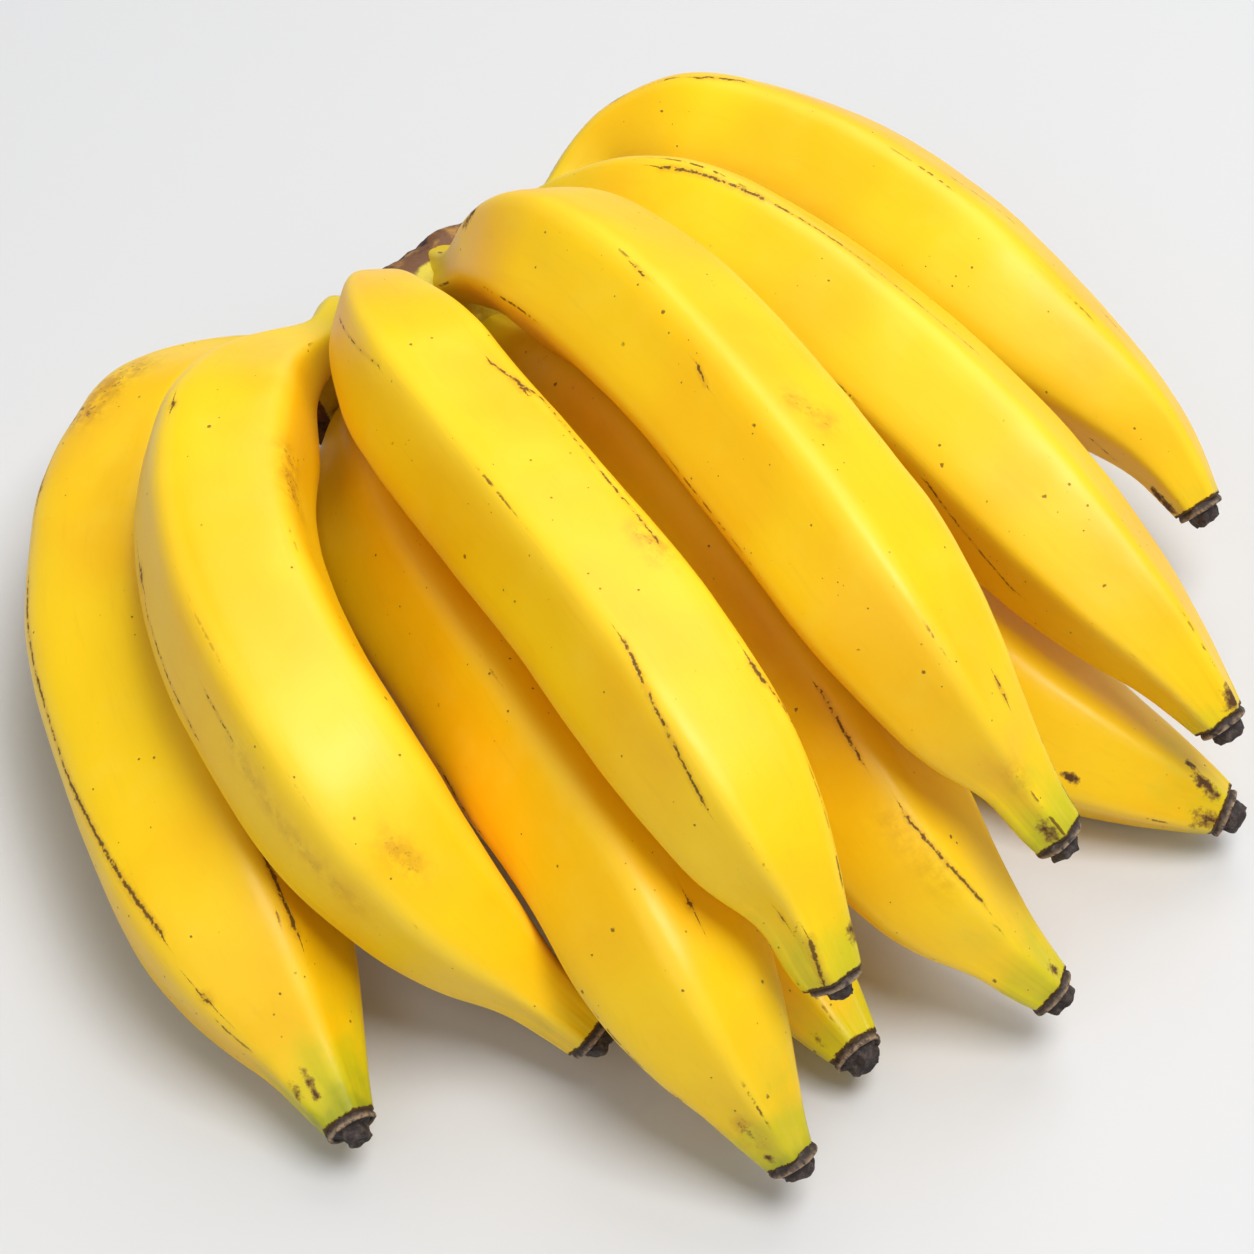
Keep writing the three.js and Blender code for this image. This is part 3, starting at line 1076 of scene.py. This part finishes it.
FINGERS = [
    Finger(
        1,
        [
            (-60, 67, 26), (-68, 77, 27), (-83, 70, 26), (-94, 47, 25), (-99, 15, 25), (-90, -22, 24),
            (-74, -54, 21), (-60, -80, 16), (-49, -98, 11),
        ],
        girth=20.4, swell=37, taper=56, blunt=1.1, turn=23, green=1.0, crisp=0.3, pinch=1.2, stub=0.75,
        marks=marked({
            Mark.SCAR: [
                (0.43, 58, 0.62, 59, 0.4, 0.75), (0.62, 59, 0.8, 49, 0.45), (0.745, -18, 0.855, -21, 0.5),
                (0.33, 58, 0.335, 58, 0.8, 0.9), (0.86, 52, 0.865, 52, 0.6, 0.9),
            ],
            Mark.BRUISE: [(0.2, 38, 0.25, 47, 3.6)],
            Mark.SCUFF: [
                (0.245, 57, 0.26, 59, 1.4, 0.7), (0.955, 52, 0.965, 56, 1.0, 0.68),
                (0.95, 28, 0.975, 33, 0.9, 0.62),
            ],
        }),
    ),
    Finger(
        2,
        [
            (-57, 68, 42), (-60, 57, 49), (-72, 40, 55), (-76, 14, 59), (-72, -20, 61), (-56, -48, 57),
            (-41, -65, 43), (-25, -72, 26), (-7, -82, 15),
        ],
        girth=16.8, swell=47, taper=66, blunt=1.25, turn=-2, green=0.5, crisp=0.3, pinch=1.0,
        marks=marked({
            Mark.SCAR: [
                (0.428, 84, 0.432, 84, 1.1), (0.46, 88, 0.58, 92, 0.35, 0.6),
                (0.575, 57, 0.61, 58, 0.3, 0.7), (0.296, 29, 0.3, 29, 0.5, 0.8),
            ],
            Mark.BRUISE: [
                (0.35, -50, 0.41, -53, 2.8, 0.9), (0.745, 10, 0.76, 8, 2.4, 0.7),
                (0.62, 62, 0.76, 58, 1.8, 0.5),
            ],
        }),
    ),
    Finger(
        3,
        [
            (-49, 72, 25), (-54.5, 58, 31), (-50.5, 33, 34), (-34, -3, 37), (-15, -38, 39), (4, -69, 37),
            (16, -93, 27), (28.4, -105.6, 12.6),
        ],
        girth=17.3, swell=49, taper=50, blunt=1.1, turn=-9, green=0.9, crisp=0.7, pinch=1.0,
        marks=marked({
            Mark.SCAR: [
                (0.905, 102, 0.908, 102, 0.8), (0.925, 104, 0.928, 104, 0.7), (0.945, 106, 0.95, 106, 0.8),
                (0.55, 95, 0.62, 99, 0.35, 0.65), (0.79, 3, 0.792, 3, 0.55, 0.9),
            ],
            Mark.BRUISE: [(0.95, 62, 0.965, 63, 1.8, 0.8)],
            Mark.SCUFF: [(0.955, 62, 0.96, 63, 1.2, 0.68), (0.985, 67, 0.99, 67, 0.9, 0.66)],
        }),
    ),
    Finger(
        4,
        [
            (-47, 76, 42), (-49, 58, 62), (-46, 40, 68), (-32, 14, 70), (-12, -19, 73), (7, -49, 72),
            (23, -74, 62), (35, -89, 44),
        ],
        girth=16.0, swell=57, taper=54, blunt=1.0, turn=6, green=0.7, crisp=1.4, pinch=2.4, stub=0.7,
        marks=marked({
            Mark.SCAR: [
                (0.37, -15, 0.43, -28, 0.35, 0.8), (0.43, -28, 0.63, -22, 0.28, 0.62),
                (0.398, -21, 0.416, -22, 0.55), (0.755, -26, 0.772, -27, 0.6),
                (0.772, -27, 0.86, -42, 0.32, 0.7), (0.7, 38, 0.83, 55, 0.36, 0.75),
                (0.21, 66, 0.32, 50, 0.25, 0.55), (0.955, 40, 0.995, 55, 0.55),
                (0.93, 62, 0.932, 62, 0.5, 0.8),
            ],
            Mark.BRUISE: [(0.615, -18, 0.64, -20, 2.2, 0.7)],
            Mark.SCUFF: [(0.965, -30, 0.975, -30, 1.3, 0.7)],
        }),
    ),
    Finger(
        5,
        [
            (-40, 80, 25), (-38, 69, 18), (-25, 40, 14), (-7, 3, 15), (12, -32, 17), (26, -61, 14),
            (41, -82, 10),
        ],
        girth=14.0, swell=48, taper=50, blunt=0.9, turn=-20, green=0.75,
        marks=marked({
            Mark.SCAR: [(0.88, 20, 0.885, 20, 0.5, 0.8)],
            Mark.SCUFF: [(0.97, 60, 0.98, 64, 0.7, 0.6)],
        }),
    ),
    Finger(
        6,
        [
            (-31, 88, 25), (-22, 65, 37), (-4, 34, 45), (16, -2, 46), (37, -36, 41), (54, -62, 28),
            (76, -72, 14),
        ],
        girth=16.7, swell=48, taper=57, blunt=1.1, turn=-29, green=0.8, crisp=1.1, pinch=1.8,
        marks=marked({
            Mark.SCAR: [(0.685, 13, 0.75, 16, 0.35, 0.75), (0.8, 12, 0.895, 2, 0.36, 0.85)],
            Mark.BRUISE: [(0.8, 22, 0.86, 16, 2.2, 0.4)],
            Mark.SCUFF: [(0.985, -20, 0.99, -20, 1.3, 0.7)],
        }),
    ),
    Finger(
        7,
        [
            (-37, 84, 42), (-31, 70, 56), (-20, 62, 72), (1, 40, 79), (24, 1, 81), (46, -34, 75),
            (61, -51, 59), (75, -61, 46),
        ],
        girth=16.2, swell=45, taper=62, blunt=1.25, turn=-10, green=0.85, crisp=1.2, pinch=2.2, stub=0.85,
        marks=marked({
            Mark.SCAR: [
                (0.512, 41, 0.53, 45, 0.35, 0.8), (0.855, -11, 0.872, -12, 0.45, 0.95),
                (0.39, 27, 0.41, 28, 0.3, 0.6),
            ],
            Mark.BRUISE: [(0.59, 3, 0.61, -5, 2.6, 0.7), (0.925, 29, 0.935, 29, 1.7, 0.6)],
            Mark.SCUFF: [(0.165, 38, 0.185, 12, 2.0, 0.78), (0.98, 44, 0.99, 44, 1.6, 0.8)],
        }),
    ),
    Finger(
        8,
        [
            (-22, 96, 25), (-7, 85, 26), (20, 59, 25), (47, 23, 22), (70, -6, 17), (91, -20, 14),
            (113, -29, 10),
        ],
        girth=16.7, swell=46, taper=54, blunt=0.9, turn=-29, green=0.6,
        marks=marked({
            Mark.SCUFF: [
                (0.85, 62, 0.86, 62, 0.8, 0.9), (0.965, 4, 0.985, 12, 1.2, 0.9),
                (0.95, -10, 0.955, -8, 1.0, 0.9), (0.98, 60, 0.99, 60, 1.6, 0.8),
            ],
        }),
    ),
    Finger(
        9,
        [
            (-28, 92, 42), (-15, 89, 57), (5, 80, 64), (33, 58, 63), (62, 27, 57), (84, 1, 48),
            (101, -16, 41), (110, -25, 33),
        ],
        girth=16.1, swell=48, taper=65, blunt=1.0, turn=-54, green=0.5, crisp=1.2,
        marks=marked({
            Mark.SCAR: [
                (0.235, -9, 0.34, -17, 0.5, 0.9), (0.34, -17, 0.59, -32, 0.28, 0.65),
                (0.655, 62, 0.78, 92, 0.33, 0.75),
            ],
            Mark.SCUFF: [(0.98, -20, 0.99, -20, 1.6, 0.85)],
        }),
    ),
    Finger(
        10,
        [
            (-19, 100, 38), (-15, 110, 37), (-5, 124, 42), (19, 120, 47), (51, 99, 49), (78, 67, 44),
            (104, 48, 36), (114, 35, 26),
        ],
        girth=17.3, swell=41, taper=78, blunt=1.0, turn=10, green=0.3, crisp=0.4, pinch=0.5,
        marks=marked({
            Mark.SCAR: [
                (0.176, -35, 0.18, -35, 0.8, 0.9), (0.265, -24, 0.31, -30, 0.42, 0.85),
                (0.57, -41, 0.64, -56, 0.28, 0.6), (0.79, -61, 0.8, -61, 0.5, 0.8),
                (0.865, 74, 0.9, 94, 0.33, 0.6),
            ],
            Mark.SCUFF: [(0.965, 92, 0.985, 97, 1.6, 0.9)],
        }),
    ),
]


@dataclass(frozen=True)
class Lamp:
    """A square soft light.

    Attributes:
        name: Its name.
        place: Where it hangs, in metres.
        size: Its side in metres.
        power: Its power in watts.
        tint: Its colour.
    """

    name: str
    place: Triple
    size: float
    power: float
    tint: Triple = (1.0, 1.0, 1.0)

    def hang(self, target: Vector) -> None:
        """Hang the lamp and aim it at a point.

        Args:
            target: The point, in metres.
        """
        data = bpy.data.lights.new(self.name, "AREA")
        data.size = self.size
        data.energy = self.power
        data.color = self.tint
        lamp = bpy.data.objects.new(self.name, data)
        bpy.context.scene.collection.objects.link(lamp)
        lamp.location = self.place
        lamp.rotation_euler = (target - Vector(self.place)).to_track_quat("-Z", "Y").to_euler()


@dataclass
class Studio:
    """Pale floor, soft lamps and the camera.

    Attributes:
        elevation: How far the camera looks down, in degrees.
        distance: From the camera to its target, in metres.
        lens: Focal length in millimetres.
        target: The point looked at, in metres.
        floor_side: Side of the square floor in metres.
        board: Colour of the floor.
        air: Colour of the surrounding light.
        air_strength: Strength of the surrounding light.
        lamps: The soft lamps.
    """

    elevation: float = 50.0
    distance: float = 0.600
    lens: float = 90.0
    target: Triple = (-0.00148, -0.01302, 0.02957)
    floor_side: float = 8.0
    board: Colour = (0.655, 0.655, 0.660, 1.0)
    air: Colour = (0.94, 0.97, 1.0, 1.0)
    air_strength: float = 0.27
    lamps: tuple[Lamp, ...] = (
        Lamp("overhead", (0.34, -0.18, 1.28), 0.7, 14.2),
        Lamp("back", (0.28, 0.76, 1.12), 0.8, 6.0),
        Lamp("front", (-0.55, -0.95, 1.00), 1.2, 4.2),
    )

    def build(self) -> None:
        """Make the floor, the lamps, the surrounding light and the camera."""
        self._floor()
        for lamp in self.lamps:
            lamp.hang(Vector(self.target))
        world = bpy.data.worlds.new("studio_air")
        world.use_nodes = True
        glow = world.node_tree.nodes["Background"]
        glow.inputs["Color"].default_value = self.air
        glow.inputs["Strength"].default_value = self.air_strength
        bpy.context.scene.world = world
        self._camera()
        bpy.context.scene.view_settings.view_transform = "Standard"

    def _floor(self) -> None:
        """Lay a large flat pale floor under the hand."""
        half = self.floor_side / 2.0
        mesh = bpy.data.meshes.new("floor")
        corners = [(-half, -half, 0.0), (half, -half, 0.0), (half, half, 0.0), (-half, half, 0.0)]
        mesh.from_pydata(corners, [], [(0, 1, 2, 3)])
        floor = bpy.data.objects.new("floor", mesh)
        bpy.context.scene.collection.objects.link(floor)
        s = Shader("pale_board")
        s.feed(s.surface, {"Base Color": self.board, "Roughness": 0.8, "Specular IOR Level": 0.2})
        mesh.materials.append(s.material)

    def _camera(self) -> None:
        """Stand the camera in front, looking down at the hand."""
        data = bpy.data.cameras.new("camera")
        data.lens = self.lens
        data.sensor_width = 36.0
        data.clip_start = 0.05
        camera = bpy.data.objects.new("camera", data)
        bpy.context.scene.collection.objects.link(camera)
        tilt = np.radians(self.elevation)
        back = Vector((0.0, -float(np.cos(tilt)), float(np.sin(tilt))))
        camera.location = Vector(self.target) + back * self.distance
        camera.rotation_mode = "QUATERNION"
        camera.rotation_quaternion = (-back).to_track_quat("-Z", "Y")
        bpy.context.scene.camera = camera


def main() -> None:
    """Load the frame, build the studio and the hand."""
    logging.basicConfig(level=logging.INFO, format="%(message)s")
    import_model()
    Studio().build()
    Hand(FINGERS).build()


if __name__ == "__main__":
    main()
